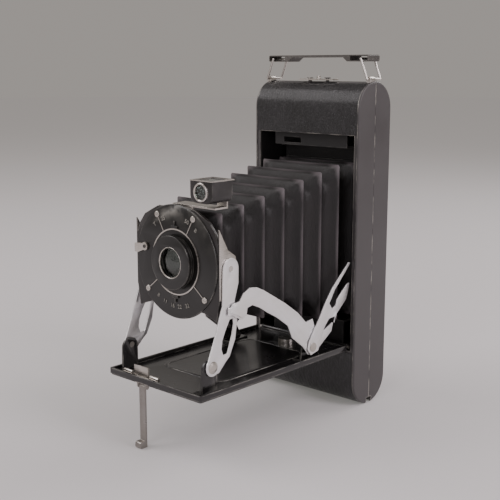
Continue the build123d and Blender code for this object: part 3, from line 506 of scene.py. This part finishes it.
# Small fittings are plated too, but have gone duller; the foot gets a darker copy of the plating.
small_nickel = nickel("small_nickel", (0.62, 0.59, 0.56), 0.24, 0.5)
dark_nickel = nickel("dark_nickel", (0.36, 0.34, 0.325), 0.3, 0.5)
for part in ("foot", "foot_bracket"):
    eased(part, 0.00015, dark_nickel)
for part in ("bed_latch", "winding_key", "back_latch", "release_lever", "handle_clips"):
    eased(part, 0.00015, small_nickel)
dress(small_nickel, "bed_rivets", "top_rivets", "tripod_bush", "faceplate_trim", "faceplate_screws",
      "handle_loop_right", "handle_loop_left", "hinge_rod", "back_hinge_pin", "lever_studs", "spool_studs",
      "roller_top", "roller_bottom", "pressure_spring")

# ---- Standard, faceplate and lens ----
# The upright lens board and the round enamelled face of the shutter, with its raised ring.

board_enamel = enamel("board_enamel", (0.011, 0.009, 0.009), 0.34, 0.5)
lens_board = eased("standard_plate", 0.0003, board_enamel)
lens_board.data.materials.append(small_nickel)
board_low, board_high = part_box("standard_plate")
for face in lens_board.data.polygons:
    if abs(face.center.x - (board_low.x + board_high.x) / 2) > 0.0299:
        face.material_index = 1
face_enamel = enamel("face_enamel", (0.006, 0.0055, 0.005), 0.28, 0.6)
eased("faceplate", 0.0002, face_enamel)
eased("focus_ring", 0.00025, face_enamel)
for pointer in ("speed_pointer", "aperture_pointer"):
    eased(pointer, 0.0001, face_enamel)

lens_glass = bpy.data.materials.new("lens_glass")
lens_glass.use_nodes = True
shader = lens_glass.node_tree.nodes["Principled BSDF"]
shader.inputs["Base Color"].default_value = (0.72, 0.82, 0.76, 1)
shader.inputs["Roughness"].default_value = 0.02
shader.inputs["Transmission Weight"].default_value = 1.0
shader.inputs["IOR"].default_value = 1.52
dress(lens_glass, "rear_lens", "finder_glasses")

# The front glass is a strong meniscus, held by a thin nickel ring that catches the light.
glass_low, glass_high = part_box("front_lens")
glass_mid = (glass_low + glass_high) / 2
glass_r = (glass_high.x - glass_low.x) / 2
glass_mesh = bpy.data.meshes.new("front_glass")
bm = bmesh.new()
turn_count, step_count = 64, 14


def turned_profile(bm, profile, centre):
    """A solid turned about the lens axis from its (radius, depth) profile."""
    rings = []
    for radius, depth in profile:
        ring = []
        for k in range(turn_count):
            turn = 2 * pi * k / turn_count
            ring.append(bm.verts.new((centre.x + radius * cos(turn), centre.y + depth,
                                      centre.z + radius * sin(turn))))
        rings.append(ring)
    for a, b in zip(rings, rings[1:]):
        for k in range(turn_count):
            n = (k + 1) % turn_count
            bm.faces.new((a[k], b[k], b[n], a[n]))
    return rings


crown, rear_y, hollow = 0.0021, 0.0029, 0.0006
front_y = glass_low.y - glass_mid.y - 0.0001
profile = [(glass_r * (i + 0.02) / step_count, front_y + crown * (i / step_count) ** 2)
           for i in range(step_count + 1)]
profile.append((glass_r, rear_y))
profile += [(glass_r * (step_count - i + 0.02) / step_count,
             rear_y - hollow * (1 - (1 - i / step_count) ** 2)) for i in range(step_count + 1)]
rings = turned_profile(bm, profile, glass_mid)
bm.faces.new(rings[0])
bm.faces.new(rings[-1][::-1])
bmesh.ops.recalc_face_normals(bm, faces=bm.faces)
bm.to_mesh(glass_mesh)
bm.free()
glass_mesh.shade_smooth()
glass_mesh.materials.append(lens_glass)
front_glass = bpy.data.objects.new("front_glass", glass_mesh)
scene.collection.objects.link(front_glass)
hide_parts("front_lens")
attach(front_glass, "focus")

bm = bmesh.new()
bezel = [(glass_r - 0.0003, -0.0002), (glass_r - 0.0001, -0.0006), (glass_r + 0.0001, -0.0007),
         (glass_r + 0.0003, -0.0005), (glass_r + 0.0002, 0.0), (glass_r - 0.0003, 0.0),
         (glass_r - 0.0003, -0.0002)]
turned_profile(bm, bezel, Vector((glass_mid.x, glass_low.y, glass_mid.z)))
bmesh.ops.remove_doubles(bm, verts=bm.verts, dist=1e-7)
bmesh.ops.recalc_face_normals(bm, faces=bm.faces)
bezel_mesh = bpy.data.meshes.new("lens_bezel")
bm.to_mesh(bezel_mesh)
bm.free()
bezel_mesh.shade_smooth()
bezel_mesh.materials.append(small_nickel)
lens_bezel = bpy.data.objects.new("lens_bezel", bezel_mesh)
scene.collection.objects.link(lens_bezel)
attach(lens_bezel, "focus")

# Filled engraving on the disc: shutter speeds over the lens, stops below it.
paint_fill = bpy.data.materials.new("dial_fill")
paint_fill.use_nodes = True
tree = paint_fill.node_tree
shader = tree.nodes["Principled BSDF"]
marks = use(tree, handled, Scale=300.0)
tree.links.new(blend_colour(tree, marks["Smudge"], (0.42, 0.40, 0.36), (0.22, 0.21, 0.19)),
               shader.inputs["Base Color"])
shader.inputs["Roughness"].default_value = 0.5
dial_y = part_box("faceplate_trim")[0].y + 0.0002


def engraved(name, text, height, radius, angle):
    """A number cut into the disc, reading outwards at its angle from the lens axis."""
    curve = bpy.data.curves.new(name, "FONT")
    curve.body = text
    curve.size = height
    curve.align_x = "CENTER"
    curve.align_y = "CENTER"
    curve.extrude = 0.00004
    letter = bpy.data.objects.new(name, curve)
    scene.collection.objects.link(letter)
    a = radians(angle)
    tilt = a - pi / 2 if sin(a) > 0 else a + pi / 2
    spot = (glass_mid.x + radius * cos(a), dial_y, glass_mid.z + radius * sin(a))
    letter.matrix_world = (Matrix.Translation(spot) @ Matrix.Rotation(-tilt, 4, "Y")
                           @ Matrix.Rotation(pi / 2, 4, "X"))
    mesh = bpy.data.meshes.new_from_object(letter)
    mesh.transform(letter.matrix_world)
    bpy.data.objects.remove(letter)
    piece = bpy.data.objects.new(name, mesh)
    scene.collection.objects.link(piece)
    mesh.materials.clear()
    mesh.materials.append(paint_fill)
    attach(piece, "standard")


for name, text, angle in (("speed_25", "25", 112), ("speed_50", "50", 68), ("speed_t", "T", 130),
                          ("speed_b", "B", 50), ("stop_8", "8", 236), ("stop_11", "11", 250), ("stop_16", "16", 264),
                          ("stop_22", "22", 277), ("stop_32", "32", 291)):
    engraved(name, text, 0.0031, 0.0236, angle)

# ---- Finder ----
# A small reflecting finder on a bracket above the lens board.

eased("finder_body", 0.0003, board_enamel)
eased("finder_bracket", 0.0002, small_nickel)
finder_silver = nickel("finder_silver", (0.85, 0.86, 0.88), 0.06, 0.1)
dress(finder_silver, "finder_mirror")

# A nickel frame holds its top glass down, and a turned ring holds the front one.
box_low, box_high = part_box("finder_body")
box_mid = (box_low + box_high) / 2
frame_mesh = bpy.data.meshes.new("finder_top_frame")
bm = bmesh.new()
rail = 0.0011
fx0, fx1, fy0, fy1 = box_low.x + 0.0001, box_high.x - 0.0001, box_low.y + 0.0001, box_high.y - 0.0001
for x0, x1, y0, y1 in ((fx0, fx1, fy0, fy0 + rail), (fx0, fx1, fy1 - rail, fy1),
                       (fx0, fx0 + rail, fy0 + rail, fy1 - rail), (fx1 - rail, fx1, fy0 + rail, fy1 - rail)):
    cell = bmesh.ops.create_cube(bm, size=1.0)["verts"]
    bmesh.ops.scale(bm, verts=cell, vec=(x1 - x0, y1 - y0, 0.0005))
    bmesh.ops.translate(bm, verts=cell, vec=((x0 + x1) / 2, (y0 + y1) / 2, box_high.z + 0.0002))
bm.to_mesh(frame_mesh)
bm.free()
frame_mesh.materials.append(small_nickel)
finder_top_frame = bpy.data.objects.new("finder_top_frame", frame_mesh)
scene.collection.objects.link(finder_top_frame)
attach(finder_top_frame, "finder")

ring_r, ring_wire = 0.0043, 0.0006
bm = bmesh.new()
ring_profile = [(ring_r + ring_wire * cos(2 * pi * k / 10), ring_wire * sin(2 * pi * k / 10))
                for k in range(11)]
turned_profile(bm, ring_profile, Vector((box_mid.x, box_low.y, box_mid.z)))
bmesh.ops.remove_doubles(bm, verts=bm.verts, dist=1e-7)
bmesh.ops.recalc_face_normals(bm, faces=bm.faces)
ring_mesh = bpy.data.meshes.new("finder_front_ring")
bm.to_mesh(ring_mesh)
bm.free()
ring_mesh.shade_smooth()
ring_mesh.materials.append(small_nickel)
finder_front_ring = bpy.data.objects.new("finder_front_ring", ring_mesh)
scene.collection.objects.link(finder_front_ring)
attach(finder_front_ring, "finder")

# ---- Handle ----
# A folded strap on two wire loops.

strap_hide = leather("strap_hide", (0.05, 0.045, 0.04), (0.14, 0.13, 0.12), 1400.0, 0.0001, 0.5)
dress(strap_hide, "handle_strap")

# ---- Spools, film window ----
# Turned wooden spools on steel studs, and a ruby glass window in the back.

spool_wood = leather("spool_wood", (0.05, 0.03, 0.015), (0.12, 0.07, 0.04), 500.0, 0.00005, 0.5)
dress(spool_wood, "takeup_spool", "feed_spool")
ruby = bpy.data.materials.new("ruby_glass")
ruby.use_nodes = True
shader = ruby.node_tree.nodes["Principled BSDF"]
shader.inputs["Base Color"].default_value = (0.5, 0.02, 0.02, 1)
shader.inputs["Roughness"].default_value = 0.06
shader.inputs["Transmission Weight"].default_value = 0.6
dress(ruby, "ruby_glass")
eased("window_cover", 0.0002, dull_black)
